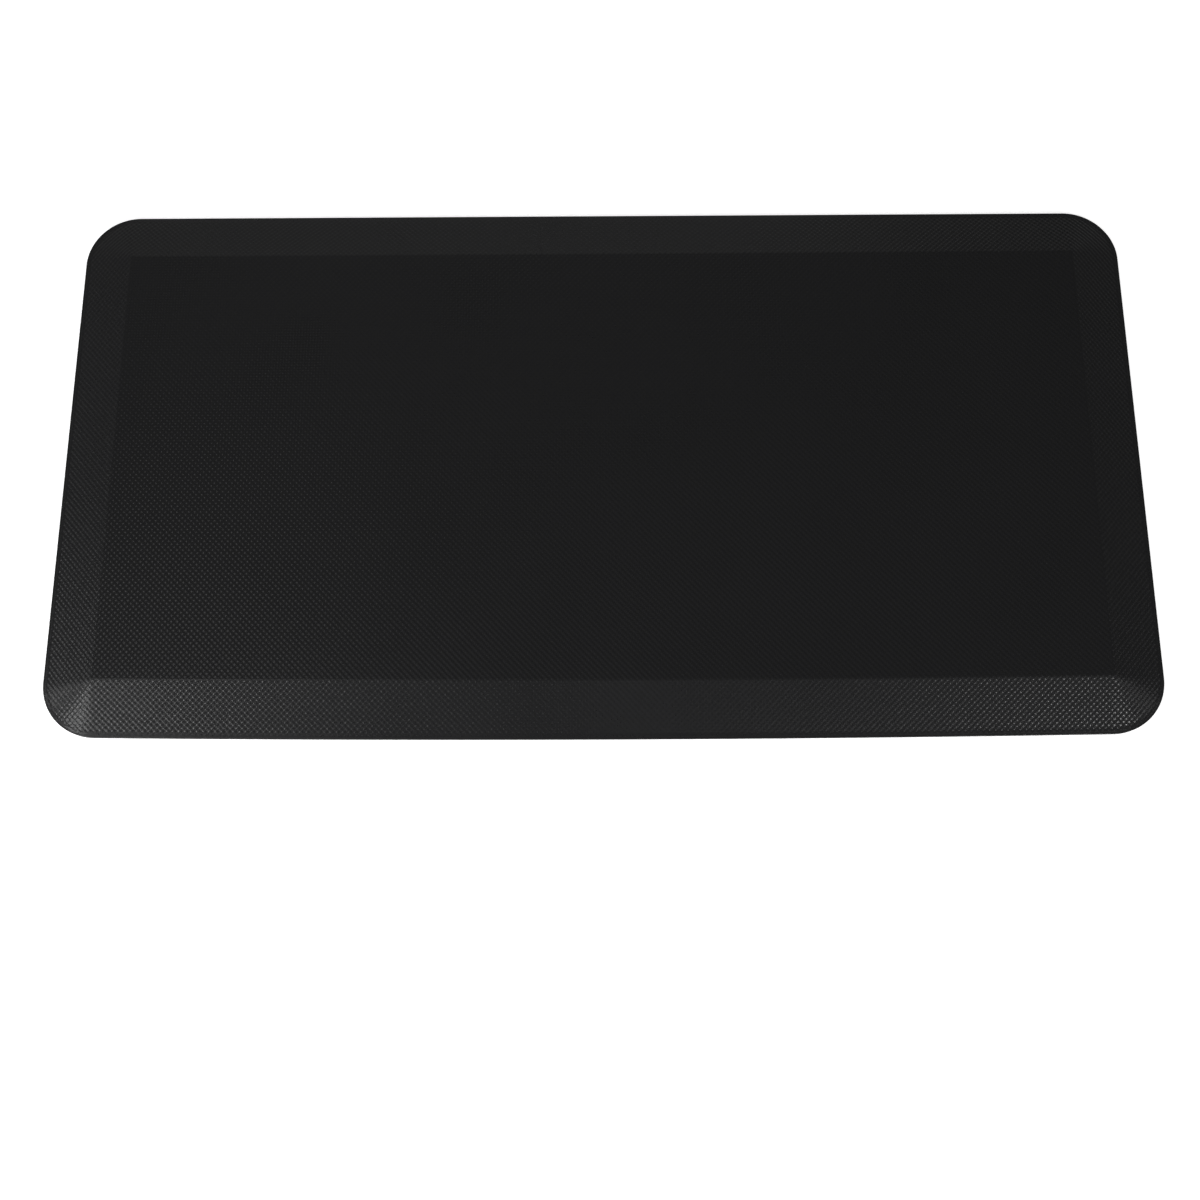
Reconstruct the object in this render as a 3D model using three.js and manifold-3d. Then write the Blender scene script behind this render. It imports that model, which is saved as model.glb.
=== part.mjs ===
// Anti-fatigue floor mat: a moulded polyurethane wear skin over a foam core, closed below by a grip sheet.
// Millimetres, +Z up. The origin is the centre of the underside. +X runs along the mat's length, and -Y is
// the long edge that a person steps on from.
import * as THREE from "three";
import { ConvexGeometry } from "three/addons/geometries/ConvexGeometry.js";
import { mergeVertices } from "three/addons/utils/BufferGeometryUtils.js";
import Module from "manifold-3d";

// The whole mat
const MAT_LENGTH = 990;
const MAT_WIDTH = 508;
const MAT_THICKNESS = 19;

// The border on all four sides: a narrow flat rim, then one straight slope up to the flat standing panel
const BORDER_RUN = 49;
const RIM_WIDTH = 2.5;
const RIM_HEIGHT = 3.2;

// With the corner radius equal to the border's run, the slope turns each corner as a quarter of a cone
// whose tip is the standing panel's sharp corner.
const CORNER_RADIUS = BORDER_RUN;
const CORNER_DIVISIONS = 12;

// The layers, from the floor up
const BASE_THICKNESS = 1.5;
const SKIN_THICKNESS = 1.2;
const SKIN_FLANGE = 6;
const LAYER_GAP = 0.3;
const CUT_OVERRUN = 1;

const LAYER_FOOT = BASE_THICKNESS + LAYER_GAP;
const SLOPE = (MAT_THICKNESS - RIM_HEIGHT) / (BORDER_RUN - RIM_WIDTH);
const SLOPE_LENGTH = Math.hypot(1, SLOPE);

const manifold = await Module();
manifold.setup();

// The mat's outline moved inwards by inset, at height z. Past the corner radius its corners are sharp.
function outlineRing(inset, z) {
  const x = MAT_LENGTH / 2 - inset;
  const y = MAT_WIDTH / 2 - inset;
  const radius = Math.max(CORNER_RADIUS - inset, 0);
  const outline = new THREE.Shape();
  outline.absarc(x - radius, y - radius, radius, 0, Math.PI / 2);
  outline.absarc(radius - x, y - radius, radius, Math.PI / 2, Math.PI);
  outline.absarc(radius - x, radius - y, radius, Math.PI, 1.5 * Math.PI);
  outline.absarc(x - radius, radius - y, radius, 1.5 * Math.PI, 2 * Math.PI);
  return outline.getPoints(CORNER_DIVISIONS).map((point) => new THREE.Vector3(point.x, point.y, z));
}

// The convex solid through a stack of outlines, each given as [inset, z]
function slabThrough(...levels) {
  return new ConvexGeometry(levels.flatMap(([inset, z]) => outlineRing(inset, z)));
}

// The height, at inset, of the surface that lies depth below the border's sloping face
function slopeHeight(inset, depth) {
  return RIM_HEIGHT + (inset - RIM_WIDTH) * SLOPE - depth * SLOPE_LENGTH;
}

// The inset at which that surface meets the one that lies depth below the standing panel
function creaseInset(depth) {
  return BORDER_RUN + (depth * (SLOPE_LENGTH - 1)) / SLOPE;
}

// The space that lies depth inside the mat's upper face, from its upright edge at inset inwards, down to floor
function spaceUnderFace(depth, inset, floor) {
  return slabThrough(
    [inset, floor],
    [inset, slopeHeight(inset, depth)],
    [creaseInset(depth), MAT_THICKNESS - depth],
  );
}

function toSolid(geometry) {
  const bare = geometry.clone();
  bare.deleteAttribute("normal");
  bare.deleteAttribute("uv");
  const merged = mergeVertices(bare);
  return new manifold.Manifold(
    new manifold.Mesh({
      numProp: 3,
      vertProperties: merged.attributes.position.array,
      triVerts: new Uint32Array(merged.index.array),
    }),
  );
}

function toGeometry(solid) {
  const mesh = solid.getMesh();
  const geometry = new THREE.BufferGeometry();
  geometry.setAttribute("position", new THREE.BufferAttribute(mesh.vertProperties, 3));
  geometry.setIndex(new THREE.BufferAttribute(mesh.triVerts, 1));
  const faceted = geometry.toNonIndexed();
  faceted.computeVertexNormals();
  return faceted;
}

// The wear skin: standing panel, four sloping borders and rim in one moulded shell, open underneath, with a
// flat flange round its foot that closes onto the base sheet
function topSkinGeometry() {
  const rim = slabThrough([0, LAYER_FOOT], [0, RIM_HEIGHT]);
  const raised = slabThrough(
    [RIM_WIDTH, LAYER_FOOT],
    [RIM_WIDTH, RIM_HEIGHT],
    [BORDER_RUN, MAT_THICKNESS],
  );
  const hollow = spaceUnderFace(SKIN_THICKNESS, SKIN_FLANGE, LAYER_FOOT - CUT_OVERRUN);
  return toGeometry(toSolid(rim).add(toSolid(raised)).subtract(toSolid(hollow)));
}

// The foam: one slab that fills the skin, its borders thinning out towards the flange
function foamCoreGeometry() {
  return spaceUnderFace(SKIN_THICKNESS + LAYER_GAP, SKIN_FLANGE + LAYER_GAP, LAYER_FOOT);
}

// The grip sheet under everything, trimmed flush with the rim
function baseSheetGeometry() {
  return slabThrough([0, 0], [0, BASE_THICKNESS]);
}

function layer(name, geometry, material) {
  const mesh = new THREE.Mesh(geometry, new THREE.MeshStandardMaterial(material));
  mesh.name = name;
  return mesh;
}

const mat = new THREE.Group();
mat.name = "anti_fatigue_mat";
mat.add(
  layer("base_sheet", baseSheetGeometry(), { color: 0x1b1b1c, roughness: 0.85, metalness: 0 }),
  layer("foam_core", foamCoreGeometry(), { color: 0x2c2c2e, roughness: 0.95, metalness: 0 }),
  layer("top_skin", topSkinGeometry(), { color: 0x1e1e1f, roughness: 0.6, metalness: 0 }),
);

export default mat;
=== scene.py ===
import math

import bpy
import numpy as np
from bpy.props import FloatProperty, FloatVectorProperty, PointerProperty
from bpy.types import Operator, Panel, PropertyGroup
from mathutils import Matrix, Vector


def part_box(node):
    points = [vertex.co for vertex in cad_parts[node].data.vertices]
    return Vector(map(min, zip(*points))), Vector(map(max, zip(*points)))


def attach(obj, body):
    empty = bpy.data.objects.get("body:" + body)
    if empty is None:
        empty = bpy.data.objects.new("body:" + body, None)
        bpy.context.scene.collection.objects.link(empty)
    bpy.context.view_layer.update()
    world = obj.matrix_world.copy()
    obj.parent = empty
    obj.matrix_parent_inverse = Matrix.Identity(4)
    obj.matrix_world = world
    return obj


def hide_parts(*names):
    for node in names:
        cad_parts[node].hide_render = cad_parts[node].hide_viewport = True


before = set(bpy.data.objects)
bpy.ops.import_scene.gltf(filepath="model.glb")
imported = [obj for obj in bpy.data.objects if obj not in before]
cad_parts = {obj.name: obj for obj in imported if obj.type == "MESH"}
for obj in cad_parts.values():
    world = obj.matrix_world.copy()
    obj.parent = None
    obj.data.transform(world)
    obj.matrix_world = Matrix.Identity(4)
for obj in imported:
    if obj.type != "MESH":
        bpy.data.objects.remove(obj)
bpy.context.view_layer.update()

bl_info = {
    "name": "Anti-Fatigue Mat",
    "version": (1, 0, 0),
    "blender": (4, 5, 0),
    "location": "3D View > Sidebar > Floor Mat",
    "description": "Builds a moulded polyurethane standing mat around its packed frame",
    "category": "Add Mesh",
}

MM = 0.001
TINY = 1e-6
NEAR = 0.01 * MM
BODY = "root"

# ---------------------------------------------------------------------------------------------
# Measures taken from the frame
# ---------------------------------------------------------------------------------------------


def frame_points(node):
    """The corners of a CAD node's mesh, in metres."""
    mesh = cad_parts[node].data
    points = np.empty(len(mesh.vertices) * 3, np.float32)
    mesh.vertices.foreach_get("co", points)
    return points.reshape(-1, 3).astype(float)


def read_frame():
    """The mat's driving sizes, read from the skin and the core of the frame."""
    low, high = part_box("top_skin")
    core_low, core_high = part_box("foam_core")
    skin = frame_points("top_skin")
    panel = skin[skin[:, 2] > high.z - NEAR]
    rim = skin[skin[:, 0] > high.x - NEAR]
    return {
        "length": high.x - low.x,
        "width": high.y - low.y,
        "thickness": high.z,
        "border_run": high.x - float(panel[:, 0].max()),
        "rim_height": float(rim[:, 2].max()),
        "skin_foot": low.z,
        "core_foot": core_low.z,
        "core_top": core_high.z,
        "core_inset": high.x - core_high.x,
    }


MEASURED = read_frame()

# ---------------------------------------------------------------------------------------------
# Sizes and colours that a user would change
# ---------------------------------------------------------------------------------------------


def length_setting(name, description, default):
    """A length in metres that the panel shows in the scene's own unit."""
    return FloatProperty(
        name=name, description=description, default=default, subtype="DISTANCE", unit="LENGTH"
    )


def linear(hex_colour):
    """An sRGB hex colour such as "#1d1d1f", as linear red, green, blue and alpha."""
    parts = [int(hex_colour[i : i + 2], 16) / 255 for i in (1, 3, 5)]
    return [c / 12.92 if c <= 0.04045 else ((c + 0.055) / 1.055) ** 2.4 for c in parts] + [1.0]


def colour_setting(name, description, hex_colour):
    """A colour swatch whose default is an sRGB hex colour."""
    return FloatVectorProperty(
        name=name,
        description=description,
        default=linear(hex_colour),
        subtype="COLOR",
        size=4,
        min=0.0,
        max=1.0,
    )


class MatSizes(PropertyGroup):
    rim_width: length_setting("Rim width", "Plain flat rim round the outline", 1.2 * MM)
    crease_blend: length_setting("Crease blend", "Height over which creases are softened", 0.3 * MM)
    weave_across: length_setting("Weave across", "Embossed weave's repeat along the mat", 5.32 * MM)
    weave_along: length_setting("Weave along", "Embossed weave's repeat across the mat", 5.5 * MM)
    weave_depth: length_setting("Weave depth", "Crest to hollow of the embossed weave", 0.45 * MM)
    weave_margin: length_setting("Weave margin", "Plain width outside the weave", 2.9 * MM)
    skin_wall: length_setting("Skin wall", "Thickness of the wear skin", 1.2 * MM)
    flange_width: length_setting("Flange width", "Flat flange under the skin's foot", 6.0 * MM)
    front_bow: length_setting("Front bow", "How far the long front edge bows", 3.7 * MM)
    base_border: length_setting("Grip sheet border", "Plain border round the studs", 8.0 * MM)
    stud_pitch: length_setting("Stud pitch", "Repeat of the grip studs underneath", 12.0 * MM)
    stud_width: length_setting("Stud width", "Width of one grip stud", 7.0 * MM)
    stud_height: length_setting("Stud height", "How far a grip stud stands proud", 0.7 * MM)


class MatColours(PropertyGroup):
    skin: colour_setting("Wear skin", "Black moulded polyurethane", "#19191a")
    skin_worn: colour_setting("Wear skin, rubbed", "Where handling has rubbed the skin", "#1f1f20")
    base: colour_setting("Grip sheet", "Black anti-slip rubber", "#19191a")
    base_bloom: colour_setting("Grip sheet, bloomed", "Where talc is left in the rubber", "#262627")
    # Painted shade: the darker colour for the mouths of the foam's cells.
    foam: colour_setting("Foam", "Charcoal foam inside", "#2e2e31")
    foam_cell_shade: colour_setting("Foam, in its cells", "The shaded mouths of the cells", "#151516")
    floor: colour_setting("Floor", "White studio floor", "#f3f3f3")
    floor_high: colour_setting("Floor, high spots", "Less sanded", "#f6f6f6")


# ---------------------------------------------------------------------------------------------
# The mat's shape as formulas
# ---------------------------------------------------------------------------------------------


def soft_min(a, b, blend):
    """The smaller of two heights, rounded over where they differ by less than blend."""
    mix = np.clip(0.5 + 0.5 * (b - a) / blend, 0, 1)
    return b + (a - b) * mix - blend * mix * (1 - mix)


def soft_max(a, b, blend):
    """The larger of two heights, rounded over where they differ by less than blend."""
    return -soft_min(-a, -b, blend)


def smooth_step(low, high, value):
    """0 below low, 1 above high, and a smooth rise between them."""
    t = np.clip((value - low) / (high - low), 0, 1)
    return t * t * (3 - 2 * t)


def gradient(value, x, y, step=0.1 * MM):
    """How fast a function of place changes along x and along y."""
    return (
        (value(x + step, y) - value(x - step, y)) / (2 * step),
        (value(x, y + step) - value(x, y - step)) / (2 * step),
    )


def unit(vectors):
    """The vectors, each made one long."""
    return vectors / np.linalg.norm(vectors, axis=1)[:, None]


class MatForm:
    """The outline and the border's profile, from the driving sizes."""

    def __init__(self, sizes):
        self.half_length = MEASURED["length"] / 2
        self.half_width = MEASURED["width"] / 2
        self.thickness = MEASURED["thickness"]
        self.run = MEASURED["border_run"]
        self.radius = self.run  # equal, so that the slope turns each corner as a quarter cone
        self.rim_height = MEASURED["rim_height"]
        self.rim_width = sizes.rim_width
        self.blend = sizes.crease_blend
        self.slope = (self.thickness - self.rim_height) / (self.run - self.rim_width)
        self.stretch = math.hypot(1, self.slope)
        self.corner_x = self.half_length - self.radius
        self.corner_y = self.half_width - self.radius
        self.bow = sizes.front_bow

    def inset(self, x, y):
        """How far each place lies inside the outline."""
        past_x = np.abs(x) - self.corner_x
        past_y = np.abs(y) - self.corner_y
        beyond = np.hypot(np.maximum(past_x, 0), np.maximum(past_y, 0))
        inside = np.minimum(np.maximum(past_x, past_y), 0)
        return self.radius - beyond - inside

    def face_height(self, inset, depth=0.0):
        """Height of the surface that lies depth inside the upper face, its creases softened."""
        sloping = self.rim_height + (inset - self.rim_width) * self.slope - depth * self.stretch
        under_panel = soft_min(sloping, self.thickness - depth, self.blend)
        return soft_max(under_panel, self.rim_height - depth, self.blend)

    def height_at(self, x, y):
        """Height of the upper face at each place."""
        return self.face_height(self.inset(x, y))

    def perimeter_place(self, x, y):
        """How far round the outline each place near it lies, counter-clockwise."""
        near_x = np.clip(x, -self.corner_x, self.corner_x)
        near_y = np.clip(y, -self.corner_y, self.corner_y)
        angle = np.arctan2(y - near_y, x - near_x) % math.tau
        angle = np.where(angle < TINY, math.tau, angle)
        length, width = 2 * self.corner_x, 2 * self.corner_y
        travel = np.select(
            [angle < math.pi - TINY, angle < 1.5 * math.pi - TINY, angle < math.tau - TINY],
            [
                self.corner_x - near_x,
                length + self.corner_y - near_y,
                length + width + self.corner_x + near_x,
            ],
            2 * length + width + self.corner_y + near_y,
        )
        return angle * self.radius + travel

    def stations(self, spacing, corner_steps):
        """Places round the outline: the point each is measured from, the way outwards, and how far
        round it lies. A ring at any inset stands at the same stations."""
        corners = np.array([(1, 1), (-1, 1), (-1, -1), (1, -1)]) * (self.corner_x, self.corner_y)
        centres, angles, places, place = [], [], [], 0.0
        for quarter, here in enumerate(corners):
            there = corners[(quarter + 1) % 4]
            side = np.linalg.norm(there - here)
            steps = max(round(side / spacing), 1)
            turn = np.linspace(0, math.pi / 2, corner_steps + 1)
            share = np.linspace(0, 1, steps + 1)[1:-1]
            centres.append(np.tile(here, (len(turn), 1)))
            centres.append(here + (there - here) * share[:, None])
            angles.append(turn + quarter * math.pi / 2)
            angles.append(np.full(len(share), (quarter + 1) * math.pi / 2))
            places.append(place + turn * self.radius)
            place += self.radius * math.pi / 2
            places.append(place + side * share)
            place += side
        angles = np.concatenate(angles)
        outwards = np.column_stack([np.cos(angles), np.sin(angles)])
        return np.concatenate(centres), outwards, np.concatenate(places), place

    def settle(self, points):
        """Gives points the moulded slab's slight bow: its long front edge swells outwards."""
        share = np.clip(0.5 - points[:, 1] / (2 * self.half_width), 0, 1) ** 2
        along = 0.5 - (points[:, 0] / self.half_length) ** 2
        points[:, 1] -= self.bow * share * along
        return points


# ---------------------------------------------------------------------------------------------
# Mesh building
# ---------------------------------------------------------------------------------------------


class Shell:
    """A closed mesh made from grids and rings, joined from the middle of its top, round its edge
    and back to the middle underneath."""

    def __init__(self, form, spacing, corner_steps):
        self.form = form
        self.stations = form.stations(spacing, corner_steps)
        self.points, self.marks, self.normals, self.faces, self.count = [], [], [], [], 0

    def add_points(self, points, marks=None, normals=None):
        """Adds points with a mark each. A normal of zero length is left to the mesh."""
        first = self.count
        self.points.append(points)
        self.marks.append(np.zeros(len(points)) if marks is None else marks)
        self.normals.append(np.zeros((len(points), 3)) if normals is None else normals)
        self.count += len(points)
        return np.arange(first, self.count)

    def add_grid(self, columns, rows, surface, least_inset, faces_up=True):
        """Quads over the columns and rows, as far out as least_inset. surface gives the points
        and, where it has them, their marks and normals. Returns the loop round the grid's edge."""
        x, y = np.meshgrid(columns, rows)
        inside = self.form.inset(x, y) >= least_inset
        whole = inside[:-1, :-1] & inside[1:, :-1] & inside[:-1, 1:] & inside[1:, 1:]
        beside = np.zeros(x.shape, int)
        for row in (0, 1):
            for column in (0, 1):
                beside[row : row + whole.shape[0], column : column + whole.shape[1]] += whole
        used = beside > 0
        names = np.full(x.shape, -1)
        names[used] = self.add_points(*surface(x[used], y[used]))
        corners = (names[:-1, :-1], names[:-1, 1:], names[1:, 1:], names[1:, :-1])
        quads = np.stack([corner[whole] for corner in corners], -1)
        # A quad is split from its first corner. Turning every other one mirrors its neighbours'
        # split, so that a relief looks alike along both diagonals.
        turned = (np.indices(whole.shape).sum(0) % 2 == 1)[whole]
        quads[turned] = np.roll(quads[turned], 1, axis=1)
        self.faces += (quads if faces_up else quads[:, ::-1]).tolist()
        edge = used & (beside < 4)
        place = self.form.perimeter_place(x[edge], y[edge])
        order = np.argsort(place)
        return names[edge][order], place[order]

    def add_ring(self, inset, z):
        """A loop of points at inset inside the outline."""
        centres, outwards, place, _ = self.stations
        plan = centres + outwards * (self.form.radius - inset)
        return self.add_points(np.column_stack([plan, np.full(len(plan), z)])), place

    def add_rings(self, profile):
        """A ring at each (inset, z), joined to the one before. Returns the first and the last."""
        rings = [self.add_ring(inset, z) for inset, z in profile]
        for (a, _), (b, _) in zip(rings, rings[1:]):
            quads = np.stack([a, b, np.roll(b, -1), np.roll(a, -1)], -1)
            self.faces += quads.tolist()
        return rings[0], rings[-1]

    def zip_loops(self, inner, outer, faces_up=True):
        """Triangles between a grid's edge and a ring outside it."""
        (a, place_a), (b, place_b) = inner, outer
        whole = self.stations[3]
        next_a = np.append(place_a[1:], place_a[0] + whole)
        next_b = np.append(place_b[1:], place_b[0] + whole)
        i = j = 0
        while i < len(a) or j < len(b):
            if j == len(b) or (i < len(a) and next_a[i] <= next_b[j]):
                triangle = [a[i % len(a)], b[j % len(b)], a[(i + 1) % len(a)]]
                i += 1
            else:
                triangle = [a[i % len(a)], b[j % len(b)], b[(j + 1) % len(b)]]
                j += 1
            self.faces.append([int(name) for name in triangle[:: 1 if faces_up else -1]])

    def make(self, name, mark_name=None):
        """The finished object, smooth-shaded and linked to the scene."""
        points = self.form.settle(np.concatenate(self.points))
        mesh = bpy.data.meshes.new(name)
        mesh.from_pydata(points.tolist(), [], self.faces)
        if mark_name:
            mark = mesh.attributes.new(mark_name, "FLOAT", "POINT")
            mark.data.foreach_set("value", np.concatenate(self.marks).astype(np.float32))
        mesh.shade_smooth()
        mesh.update()
        check_closed(mesh, name)
        normals = np.concatenate(self.normals)
        if normals.any():
            mesh.normals_split_custom_set_from_vertices(normals.tolist())
        piece = bpy.data.objects.new(name, mesh)
        bpy.context.scene.collection.objects.link(piece)
        return piece


def check_closed(mesh, name):
    """Raises an error unless every edge lies between exactly two faces."""
    edges = np.empty(len(mesh.loops), np.int32)
    mesh.loops.foreach_get("edge_index", edges)
    if not np.all(np.bincount(edges, minlength=len(mesh.edges)) == 2):
        raise RuntimeError(f"{name} isn't closed")


# ---------------------------------------------------------------------------------------------
# The three layers
# ---------------------------------------------------------------------------------------------

# Mesh spacing: along the outline's sides, and over the plain faces inside.
SKIN_SIDE_STEP = 5 * MM
SKIN_INSIDE_STEP = 8 * MM
CORE_SIDE_STEP = 6 * MM
CORE_TOP_STEP = 8 * MM
CORE_FOOT_STEP = 16 * MM
SHEET_SIDE_STEP = 5 * MM
SHEET_TOP_STEP = 12 * MM
CORNER_STEPS = 24
CORE_CORNER_STEPS = 16

# How far in from an edge or border its last ring lies, and where the grid inside it starts.
RING_REACH = 2 * MM
GRID_REACH = 3 * MM

# Radii of the small rounded edges.
RIM_ROUNDING = 0.5 * MM
SKIN_FOOT_ROUNDING = 0.25 * MM
CORE_ROUNDING = 0.4 * MM
SHEET_TOP_ROUNDING = 0.15 * MM
SHEET_FOOT_ROUNDING = 0.3 * MM

BOND_SEAM = 0.02 * MM  # the hairline between the skin's foot and the grip sheet


def even_lines(half, crease, spacing):
    """Grid lines from -half to half, evenly spaced on the panel and on the two borders."""
    panel = np.linspace(-crease, crease, 2 * max(round(crease / spacing), 1) + 1)
    border = np.linspace(crease, half, max(round((half - crease) / spacing), 1) + 1)[1:]
    return np.concatenate([-border[::-1], panel, border])


def even_grid(form, spacing):
    """Columns and rows for a plain face."""
    return (
        even_lines(form.half_length, form.corner_x, spacing),
        even_lines(form.half_width, form.corner_y, spacing),
    )


def plain_surface(form, height):
    """A surface function without relief, from a height that depends on the inset."""
    return lambda x, y: (np.column_stack([x, y, height(form.inset(x, y)) + 0 * x]),)


def rounded_edge(inset, z, radius, steps, upper):
    """Profile points of a quarter round at an upright edge: down onto it if upper, else off it."""
    turn = np.linspace(0, math.pi / 2, steps + 1)
    side = 1 if upper else -1
    across = inset + radius * (1 - np.sin(turn))
    down = z - side * radius * (1 - np.cos(turn))
    profile = list(zip(across, down))
    return profile if upper else profile[::-1]


class Weave:
    """The embossed weave: a chequer of pillows and hollows that runs on over the creases."""

    LINES_PER_REPEAT = 4

    def __init__(self, form, sizes):
        self.form = form
        self.across, self.along = sizes.weave_across, sizes.weave_along
        self.depth, self.margin = sizes.weave_depth, sizes.weave_margin

    def over_surface(self, plan, crease):
        """Distance from the mat's middle, measured over the surface, of a place in plan."""
        beyond = np.maximum(np.abs(plan) - crease, 0)
        return plan + np.sign(plan) * beyond * (self.form.stretch - 1)

    def lines(self, half, crease, repeat):
        """Grid lines through the crests and hollows, half-way between, and along the creases."""
        spacing = repeat / self.LINES_PER_REPEAT
        count = int(self.over_surface(half, crease) / spacing)
        over = np.arange(-count, count + 1) * spacing
        for side in (-crease, crease):
            over[np.argmin(np.abs(over - side))] = side
        beyond = np.maximum(np.abs(over) - crease, 0)
        return over - np.sign(over) * beyond * (1 - 1 / self.form.stretch)

    def grid(self):
        """Columns and rows of the embossed face."""
        form = self.form
        return (
            self.lines(form.half_length, form.corner_x, self.across),
            self.lines(form.half_width, form.corner_y, self.along),
        )

    def sunk(self, x, y):
        """How far each place lies below the crests, from 0 to 1."""
        wave_x = np.cos(math.tau * self.over_surface(x, self.form.corner_x) / self.across)
        wave_y = np.cos(math.tau * self.over_surface(y, self.form.corner_y) / self.along)
        fade = smooth_step(self.margin, self.margin + 2 * MM, self.form.inset(x, y))
        return fade * (0.5 - 0.5 * wave_x * wave_y)

    def surface(self, x, y):
        """Points of the embossed face, how near each is to a crest, and the true normals."""
        height = self.form.height_at
        rise_x, rise_y = gradient(height, x, y)
        plain = unit(np.column_stack([-rise_x, -rise_y, np.ones(len(x))]))
        depth = self.depth * self.sunk(x, y)
        fall_x, fall_y = gradient(self.sunk, x, y)
        fall = np.column_stack([fall_x, fall_y, np.zeros(len(x))]) * self.depth
        along_surface = fall - plain * (fall * plain).sum(1)[:, None]
        points = np.column_stack([x, y, height(x, y)]) - plain * depth[:, None]
        return points, 1 - self.sunk(x, y), unit(plain + along_surface)


def build_top_skin(sizes):
    """The wear skin: embossed outside, plain inside, open below, with a flange round its foot."""
    form = MatForm(sizes)
    weave = Weave(form, sizes)
    foot, flange, rim = MEASURED["skin_foot"], sizes.flange_width, sizes.rim_width
    shell = Shell(form, SKIN_SIDE_STEP, CORNER_STEPS)

    def ceiling(inset):
        return form.face_height(inset, sizes.skin_wall)

    outside = shell.add_grid(*weave.grid(), weave.surface, rim + 0.3 * MM)
    profile = [(rim, form.face_height(rim))]
    profile += rounded_edge(0, form.rim_height, RIM_ROUNDING, 3, upper=True)
    profile += rounded_edge(0, foot, SKIN_FOOT_ROUNDING, 2, upper=False)
    profile += [(flange, foot), (flange, ceiling(flange))]
    first, last = shell.add_rings(profile)
    shell.zip_loops(outside, first)
    inside = plain_surface(form, ceiling)
    lines = even_grid(form, SKIN_INSIDE_STEP)
    within = shell.add_grid(*lines, inside, flange + 1 * MM, faces_up=False)
    shell.zip_loops(within, last, faces_up=False)
    return shell.make("embossed_wear_skin", "crest")


def build_foam_core(sizes):
    """The foam slab: fills the skin, thins out under the slopes and ends in a rounded edge."""
    form = MatForm(sizes)
    depth = form.thickness - MEASURED["core_top"]
    edge, foot = MEASURED["core_inset"], MEASURED["core_foot"]
    shell = Shell(form, CORE_SIDE_STEP, CORE_CORNER_STEPS)

    def top(inset):
        return form.face_height(inset, depth)

    lines = even_grid(form, CORE_TOP_STEP)
    outside = shell.add_grid(*lines, plain_surface(form, top), edge + GRID_REACH)
    last_ring = edge + RING_REACH
    profile = [(last_ring, top(last_ring))]
    profile += rounded_edge(edge, top(edge), CORE_ROUNDING, 3, upper=True)
    profile += rounded_edge(edge, foot, CORE_ROUNDING, 3, upper=False)
    profile += [(last_ring, foot)]
    first, last = shell.add_rings(profile)
    shell.zip_loops(outside, first)
    level = plain_surface(form, lambda inset: foot)
    lines = even_grid(form, CORE_FOOT_STEP)
    under = shell.add_grid(*lines, level, edge + GRID_REACH, faces_up=False)
    shell.zip_loops(under, last, faces_up=False)
    return shell.make("moulded_foam_core")


class Studs:
    """Rows of low square studs with chamfered sides, for the underside of the grip sheet."""

    CHAMFER = 0.6 * MM

    def __init__(self, form, sizes, border):
        self.form = form
        self.pitch, self.width, self.height = sizes.stud_pitch, sizes.stud_width, sizes.stud_height
        self.least_inset = border + 0.75 * sizes.stud_pitch
        self.columns, self.tread_columns = self.lines(form.half_length)
        self.rows, self.tread_rows = self.lines(form.half_width)

    def lines(self, half):
        """Grid lines along every stud's foot and tread, and which of them bound a tread."""
        count = int((half - self.width) / self.pitch)
        middles = np.arange(-count, count + 1) * self.pitch
        foot, tread = self.width / 2, self.width / 2 - self.CHAMFER
        offsets = np.array([-foot, -tread, tread, foot])
        on_tread = np.tile([False, True, True, False], len(middles))
        return (middles[:, None] + offsets).ravel(), on_tread

    def surface(self, x, y):
        """Points of the studded face, and which of them lie on a tread."""
        column, row = np.searchsorted(self.columns, x), np.searchsorted(self.rows, y)
        middle_x, middle_y = np.round(x / self.pitch), np.round(y / self.pitch)
        clear = self.form.inset(middle_x * self.pitch, middle_y * self.pitch) > self.least_inset
        tread = self.tread_columns[column] & self.tread_rows[row] & clear
        return np.column_stack([x, y, np.where(tread, 0.0, self.height)]), tread.astype(float)


def build_base_sheet(sizes):
    """The grip sheet: flat above, studded below inside a plain border, and flush with the rim."""
    form = MatForm(sizes)
    border = sizes.base_border
    studs = Studs(form, sizes, border)
    top = MEASURED["skin_foot"] - BOND_SEAM
    shell = Shell(form, SHEET_SIDE_STEP, CORNER_STEPS)
    level = plain_surface(form, lambda inset: top)
    upper = shell.add_grid(*even_grid(form, SHEET_TOP_STEP), level, 8 * MM)
    profile = [(6 * MM, top)]
    profile += rounded_edge(0, top, SHEET_TOP_ROUNDING, 2, upper=True)
    profile += rounded_edge(0, 0, SHEET_FOOT_ROUNDING, 2, upper=False)
    profile += [(border, 0), (border + Studs.CHAMFER, studs.height)]
    profile += [(border + RING_REACH, studs.height)]
    first, last = shell.add_rings(profile)
    shell.zip_loops(upper, first)
    lines = studs.columns, studs.rows
    under = shell.add_grid(*lines, studs.surface, border + GRID_REACH, faces_up=False)
    shell.zip_loops(under, last, faces_up=False)
    return shell.make("studded_grip_sheet", "tread")


# ---------------------------------------------------------------------------------------------
# Materials
# ---------------------------------------------------------------------------------------------


def add_node(tree, kind, inputs=None, **settings):
    """Adds a node with its settings. An input takes a value, or the output that it's linked to."""
    made = tree.nodes.new("ShaderNode" + kind)
    for name, value in settings.items():
        setattr(made, name, value)
    for name, value in (inputs or {}).items():
        if isinstance(value, bpy.types.NodeSocket):
            tree.links.new(value, made.inputs[name])
        else:
            made.inputs[name].default_value = value
    return made


def new_material(name):
    """An empty node material, and its node tree."""
    material = bpy.data.materials.new(name)
    material.use_nodes = True
    material.node_tree.nodes.clear()
    return material, material.node_tree


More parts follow.
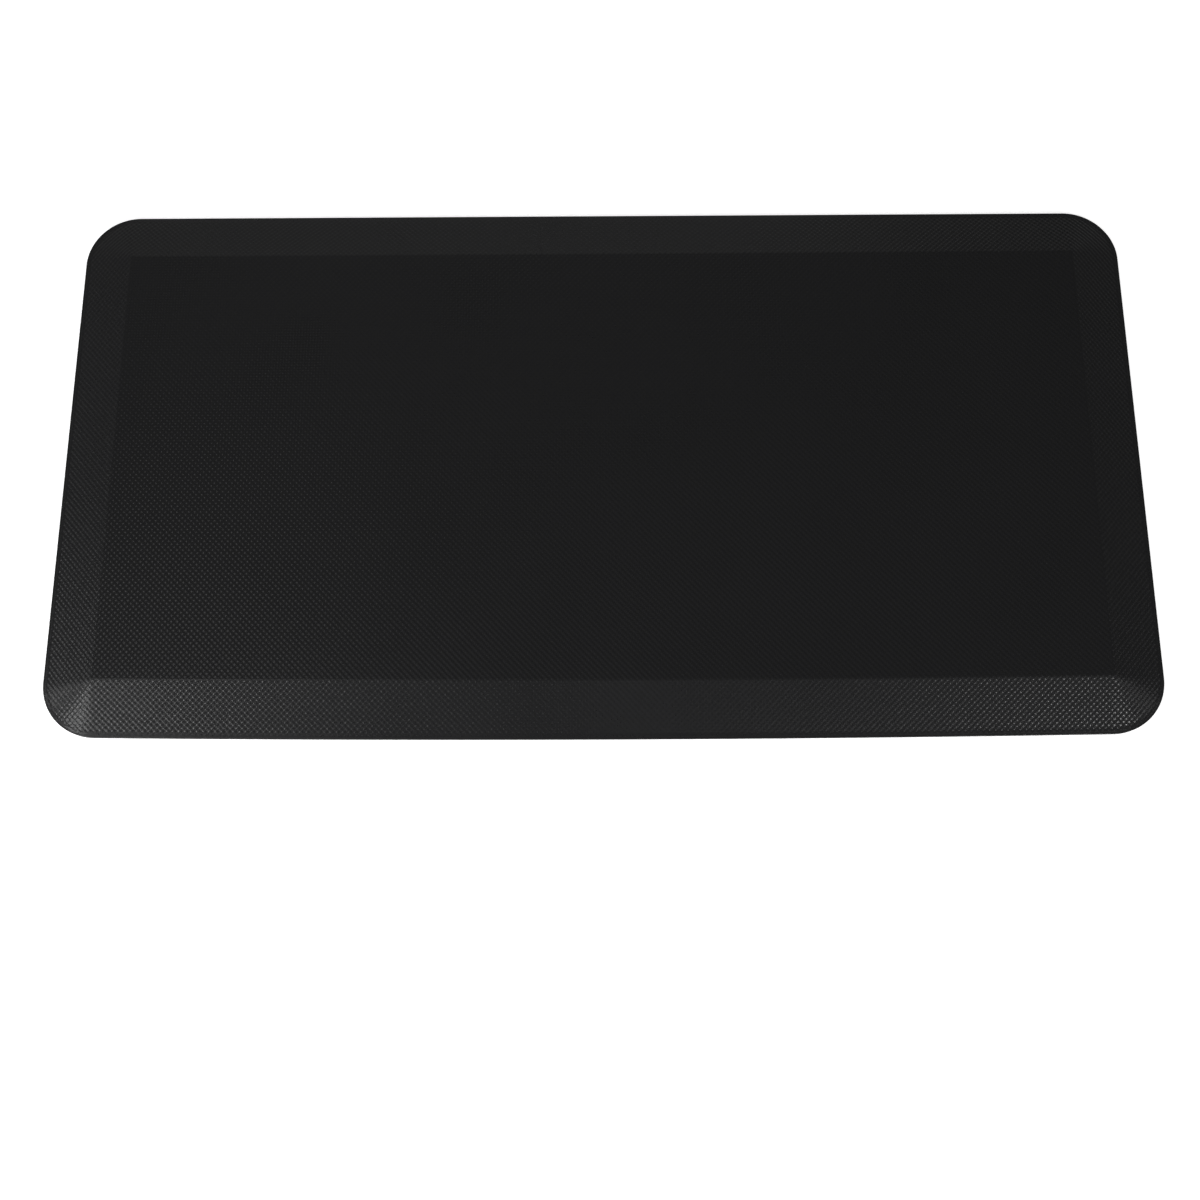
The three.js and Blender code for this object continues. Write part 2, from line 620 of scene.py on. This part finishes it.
def noise(tree, place, grain, detail=2.0):
    """Seamless noise whose features are about grain across."""
    made = add_node(tree, "TexNoise", {"Vector": place, "Scale": 1 / grain, "Detail": detail})
    return made.outputs["Fac"]


def blend_colours(tree, amount, low, high):
    """A colour between low and high."""
    made = add_node(tree, "Mix", data_type="RGBA")
    colours = [socket for socket in made.inputs if socket.type == "RGBA"]
    tree.links.new(amount, made.inputs["Factor"])
    colours[0].default_value, colours[1].default_value = low, high
    return next(socket for socket in made.outputs if socket.type == "RGBA")


def blend_values(tree, amount, low, high, start=0.0):
    """A number between low and high, as amount goes from start to 1."""
    inputs = {"Value": amount, "From Min": start, "To Min": low, "To Max": high}
    return add_node(tree, "MapRange", inputs, clamp=True).outputs["Result"]


def moulded_polyurethane(colours):
    """Polyurethane that skinned over against an etched steel mould. It gives a low, broad sheen: a
    little tighter on the crests, which are rubbed smooth, drier in the hollows, and broken by a
    leathery micro-grain and by faint patches from handling."""
    material, tree = new_material("moulded_polyurethane_skin")
    place = add_node(tree, "TexCoord").outputs["Object"]
    crest = add_node(tree, "Attribute", attribute_name="crest").outputs["Fac"]
    patches = noise(tree, place, 110 * MM, 3.0)
    # The real grain is about 0.3 mm, too fine to show, so it's drawn at 1.1 mm.
    grain = noise(tree, place, 1.1 * MM, 2.0)
    rubbed = add_node(tree, "Math", {0: patches, 1: crest}, operation="MULTIPLY").outputs[0]
    dryness = add_node(tree, "Math", {0: patches, 1: grain}, operation="ADD").outputs[0]
    rough_hollow = blend_values(tree, dryness, 0.24, 0.32)
    rough = add_node(tree, "Math", {0: crest, 1: -0.04, 2: rough_hollow}, operation="MULTIPLY_ADD")
    bump = add_node(tree, "Bump", {"Height": grain, "Distance": 0.01 * MM, "Strength": 0.5})
    shader = add_node(
        tree,
        "BsdfPrincipled",
        {
            "Base Color": blend_colours(tree, rubbed, colours.skin, colours.skin_worn),
            "Roughness": rough.outputs[0],
            "IOR": 1.5,
            "Normal": bump.outputs["Normal"],
        },
    )
    add_node(tree, "OutputMaterial", {"Surface": shader.outputs[0]})
    return material


def calendered_rubber(colours):
    """Anti-slip rubber, rolled into sheet: dull, with a fine talc bloom in its low places, and
    with treads that the floor has wiped darker."""
    material, tree = new_material("calendered_grip_rubber")
    place = add_node(tree, "TexCoord").outputs["Object"]
    tread = add_node(tree, "Attribute", attribute_name="tread").outputs["Fac"]
    bloom = noise(tree, place, 40 * MM, 4.0)
    # Calendered rubber has a grain of about 0.2 mm, drawn here at 0.8 mm so that it shows.
    grain = noise(tree, place, 0.8 * MM, 2.0)
    dusty = add_node(tree, "Math", {0: bloom, 1: tread}, operation="SUBTRACT", use_clamp=True)
    rough = blend_values(tree, dusty.outputs[0], 0.72, 0.9)
    bump = add_node(tree, "Bump", {"Height": grain, "Distance": 0.04 * MM, "Strength": 0.7})
    shader = add_node(
        tree,
        "BsdfPrincipled",
        {
            "Base Color": blend_colours(tree, dusty.outputs[0], colours.base, colours.base_bloom),
            "Roughness": rough,
            "IOR": 1.52,
            "Normal": bump.outputs["Normal"],
        },
    )
    add_node(tree, "OutputMaterial", {"Surface": shader.outputs[0]})
    return material


def open_cell_foam(colours):
    """Polyurethane foam, poured into the skin: matte, and pitted with small cells whose mouths are
    painted darker as shade.
    """
    material, tree = new_material("poured_polyurethane_foam")
    place = add_node(tree, "TexCoord").outputs["Object"]
    cells = add_node(tree, "TexVoronoi", {"Vector": place, "Scale": 1 / (0.9 * MM)})
    # Painted shade in the cells' mouths, darkest at each cell's middle.
    shade = blend_colours(tree, cells.outputs["Distance"], colours.foam_cell_shade, colours.foam)
    bump = add_node(
        tree,
        "Bump",
        {"Height": cells.outputs["Distance"], "Distance": 0.2 * MM, "Strength": 0.8},
    )
    mottle = noise(tree, place, 12 * MM, 3.0)
    shader = add_node(
        tree,
        "BsdfPrincipled",
        {
            "Base Color": shade,
            "Roughness": blend_values(tree, mottle, 0.88, 0.98),
            "IOR": 1.45,
            "Normal": bump.outputs["Normal"],
        },
    )
    add_node(tree, "OutputMaterial", {"Surface": shader.outputs[0]})
    return material


def backlit_floor_sheet(colours):
    """White acrylic sheet, lit softly from below, with the faint unevenness of its sanding."""
    material, tree = new_material("backlit_sanded_white_acrylic")
    place = add_node(tree, "TexCoord").outputs["Object"]
    sanding = noise(tree, place, 6 * MM, 2.0)
    bump = add_node(tree, "Bump", {"Height": sanding, "Distance": 0.02 * MM, "Strength": 0.2})
    shader = add_node(
        tree,
        "BsdfPrincipled",
        {
            "Base Color": blend_colours(tree, sanding, colours.floor, colours.floor_high),
            "Roughness": 0.8,
            "Specular IOR Level": 0.2,
            "Emission Color": linear("#ffffff"),
            "Emission Strength": FLOOR_GLOW,
            "Normal": bump.outputs["Normal"],
        },
    )
    add_node(tree, "OutputMaterial", {"Surface": shader.outputs[0]})
    return material


def lit_backdrop_paper():
    """A seamless roll of white paper, lit evenly along its whole length."""
    material, tree = new_material("lit_white_backdrop_paper")
    glow = add_node(tree, "Emission", {"Strength": BACKDROP_GLOW})
    add_node(tree, "OutputMaterial", {"Surface": glow.outputs[0]})
    return material


# ---------------------------------------------------------------------------------------------
# Stage: floor, light and camera
# ---------------------------------------------------------------------------------------------

# Floor and backdrop, in metres. The glow keeps both of them pale however dim the lights are.
FLOOR_HALF = 60.0
FLOOR_DROP = 0.05 * MM
FLOOR_GLOW = 0.75
BACKDROP_RADIUS = 50.0
BACKDROP_HEIGHT = 40.0
BACKDROP_SIDES = 96
BACKDROP_GLOW = 0.8

# Softboxes round the mat: name, bearing from the front edge towards the right in degrees, rise
# above the floor in degrees, width and height in metres, and strength in watts.
SOFTBOXES = (
    ("key_softbox", -36.8, 18.7, 0.5, 0.5, 50.0),
    ("upper_key_strip", -58.0, 31.0, 0.3, 1.4, 15.8),
    ("fill_softbox", 37.5, 30.0, 1.2, 0.3, 24.5),
    ("left_strip", -85.4, 17.1, 0.36, 1.4, 6.0),
    ("left_top_softbox", -72.7, 61.6, 0.75, 1.1, 4.5),
    ("right_strip", 75.9, 18.3, 0.3, 1.4, 3.2),
    ("back_softbox", -171.6, 35.1, 2.4, 1.4, 2.5),
)
SOFTBOX_DISTANCE = 3.0

# The studio round the mat: brightness against the sine of the height above the floor line. Below
# the line stands what the mat's skin mirrors instead of the glowing floor.
WALLS = (
    (-0.01, 0.5),
    (0.0, 0.42),
    (0.05, 0.28),
    (0.15, 0.075),
    (0.35, 0.145),
    (0.7, 0.072),
    (1.0, 0.13),
)

# The camera looks down from the front. Its place is given in mat widths, its angles in degrees,
# and its lens and film in millimetres.
CAMERA_PLACE = (0.0094, -0.8372, 2.2646)
CAMERA_TILT = 14.423
CAMERA_TURN = 1.280
CAMERA_ROLL = -1.489
CAMERA_LENS = 39.63
CAMERA_FILM = 36.0


def add_softbox(name, bearing, rise, width, height, watts, aim):
    """An area light that faces the mat."""
    light = bpy.data.lights.new(name, "AREA")
    light.shape = "RECTANGLE"
    light.size, light.size_y = width, height
    light.energy = watts
    lamp = bpy.data.objects.new(name, light)
    level = math.cos(math.radians(rise))
    way = Vector(
        (
            level * math.sin(math.radians(bearing)),
            -level * math.cos(math.radians(bearing)),
            math.sin(math.radians(rise)),
        )
    )
    lamp.location = aim + way * SOFTBOX_DISTANCE
    lamp.rotation_euler = way.to_track_quat("Z", "Y").to_euler()
    bpy.context.scene.collection.objects.link(lamp)


def add_walls():
    """The world: brightest low down, and dim above the softboxes."""
    world = bpy.data.worlds.new("studio_walls")
    world.use_nodes = True
    tree = world.node_tree
    tree.nodes.clear()
    direction = add_node(tree, "TexCoord").outputs["Generated"]
    height = add_node(tree, "SeparateXYZ", {"Vector": direction}).outputs["Z"]
    share = blend_values(tree, height, 0.0, 1.0, start=-1.0)
    ramp = add_node(tree, "ValToRGB", {"Fac": share})
    steps = ramp.color_ramp.elements
    while len(steps) < len(WALLS):
        steps.new(0.5)
    for step, (place, brightness) in zip(steps, WALLS):
        step.position = 0.5 + 0.5 * place
        step.color = (brightness, brightness, brightness, 1)
    background = add_node(tree, "Background", {"Color": ramp.outputs["Color"]})
    add_node(tree, "OutputWorld", {"Surface": background.outputs[0]})
    bpy.context.scene.world = world


def add_floor(colours):
    """A level floor that fills the view."""
    mesh = bpy.data.meshes.new("studio_floor")
    corners = [(-1, -1), (1, -1), (1, 1), (-1, 1)]
    mesh.from_pydata([(x * FLOOR_HALF, y * FLOOR_HALF, 0) for x, y in corners], [], [(0, 1, 2, 3)])
    mesh.materials.append(backlit_floor_sheet(colours))
    floor = bpy.data.objects.new("studio_floor", mesh)
    floor.location.z = -FLOOR_DROP
    floor.visible_glossy = False  # its glare would drown the skin's own sheen
    bpy.context.scene.collection.objects.link(floor)


def add_backdrop():
    """A round pale backdrop behind the floor. Only the camera sees it, so it adds no light."""
    turns = [math.tau * step / BACKDROP_SIDES for step in range(BACKDROP_SIDES)]
    ring = [(BACKDROP_RADIUS * math.cos(turn), BACKDROP_RADIUS * math.sin(turn)) for turn in turns]
    points = [(x, y, z) for z in (0, BACKDROP_HEIGHT) for x, y in ring]
    following = [(step + 1) % BACKDROP_SIDES for step in range(BACKDROP_SIDES)]
    faces = [
        (step, after, after + BACKDROP_SIDES, step + BACKDROP_SIDES)
        for step, after in enumerate(following)
    ]
    mesh = bpy.data.meshes.new("studio_backdrop")
    mesh.from_pydata(points, [], faces)
    mesh.materials.append(lit_backdrop_paper())
    backdrop = bpy.data.objects.new("studio_backdrop", mesh)
    backdrop.visible_diffuse = False
    backdrop.visible_glossy = False
    backdrop.visible_transmission = False
    backdrop.visible_shadow = False
    bpy.context.scene.collection.objects.link(backdrop)


def add_camera():
    """The camera, above the person who stands in front of the mat."""
    camera = bpy.data.cameras.new("camera")
    camera.lens = CAMERA_LENS
    camera.sensor_width = CAMERA_FILM
    holder = bpy.data.objects.new("camera", camera)
    place = Vector(CAMERA_PLACE) * MEASURED["width"]
    turn = Matrix.Rotation(math.radians(CAMERA_TURN), 4, "Z")
    tilt = Matrix.Rotation(math.radians(CAMERA_TILT), 4, "X")
    roll = Matrix.Rotation(math.radians(CAMERA_ROLL), 4, "Z")
    holder.matrix_world = Matrix.Translation(place) @ turn @ tilt @ roll
    bpy.context.scene.collection.objects.link(holder)
    bpy.context.scene.camera = holder


# ---------------------------------------------------------------------------------------------
# Operators and panel
# ---------------------------------------------------------------------------------------------


def place_layer(piece, material, node):
    """Gives a layer its material and its body, and hides the CAD node it stands for."""
    piece.data.materials.append(material)
    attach(piece, BODY)
    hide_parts(node)


class MAT_OT_grip_sheet(Operator):
    """Build the studded grip sheet under the mat"""

    bl_idname = "floor_mat.grip_sheet"
    bl_label = "Grip Sheet"

    def execute(self, context):
        scene = context.scene
        piece = build_base_sheet(scene.mat_sizes)
        place_layer(piece, calendered_rubber(scene.mat_colours), "base_sheet")
        return {"FINISHED"}


class MAT_OT_foam_core(Operator):
    """Build the foam slab that cushions the mat"""

    bl_idname = "floor_mat.foam_core"
    bl_label = "Foam Core"

    def execute(self, context):
        scene = context.scene
        piece = build_foam_core(scene.mat_sizes)
        place_layer(piece, open_cell_foam(scene.mat_colours), "foam_core")
        return {"FINISHED"}


class MAT_OT_wear_skin(Operator):
    """Build the embossed wear skin over the foam"""

    bl_idname = "floor_mat.wear_skin"
    bl_label = "Wear Skin"

    def execute(self, context):
        scene = context.scene
        piece = build_top_skin(scene.mat_sizes)
        place_layer(piece, moulded_polyurethane(scene.mat_colours), "top_skin")
        return {"FINISHED"}


class MAT_OT_stage(Operator):
    """Set up the floor, the studio light and the camera"""

    bl_idname = "floor_mat.stage"
    bl_label = "Studio Stage"

    def execute(self, context):
        add_camera()
        add_floor(context.scene.mat_colours)
        add_backdrop()
        add_walls()
        middle = Vector((0, 0, MEASURED["thickness"]))
        for softbox in SOFTBOXES:
            add_softbox(*softbox, middle)
        context.scene.view_settings.view_transform = "Standard"
        return {"FINISHED"}


OPERATORS = (MAT_OT_stage, MAT_OT_grip_sheet, MAT_OT_foam_core, MAT_OT_wear_skin)


class MAT_PT_sidebar(Panel):
    """Lists the mat's layers, sizes and colours"""

    bl_idname = "MAT_PT_sidebar"
    bl_label = "Floor Mat"
    bl_space_type = "VIEW_3D"
    bl_region_type = "UI"
    bl_category = "Floor Mat"

    def draw(self, context):
        layout = self.layout
        for operator in OPERATORS:
            layout.operator(operator.bl_idname)
        for title, group in (
            ("Sizes", context.scene.mat_sizes),
            ("Colours", context.scene.mat_colours),
        ):
            box = layout.box()
            box.label(text=title)
            for name in group.__annotations__:
                box.prop(group, name)


CLASSES = (MatSizes, MatColours, *OPERATORS, MAT_PT_sidebar)


def register():
    for cls in CLASSES:
        bpy.utils.register_class(cls)
    bpy.types.Scene.mat_sizes = PointerProperty(type=MatSizes)
    bpy.types.Scene.mat_colours = PointerProperty(type=MatColours)


def unregister():
    del bpy.types.Scene.mat_colours
    del bpy.types.Scene.mat_sizes
    for cls in reversed(CLASSES):
        bpy.utils.unregister_class(cls)


def run_operator(operator):
    """Calls an operator through bpy.ops by its bl_idname."""
    group, name = operator.bl_idname.split(".")
    getattr(getattr(bpy.ops, group), name)()


def main():
    register()
    for operator in OPERATORS:
        run_operator(operator)


if __name__ == "__main__":
    main()
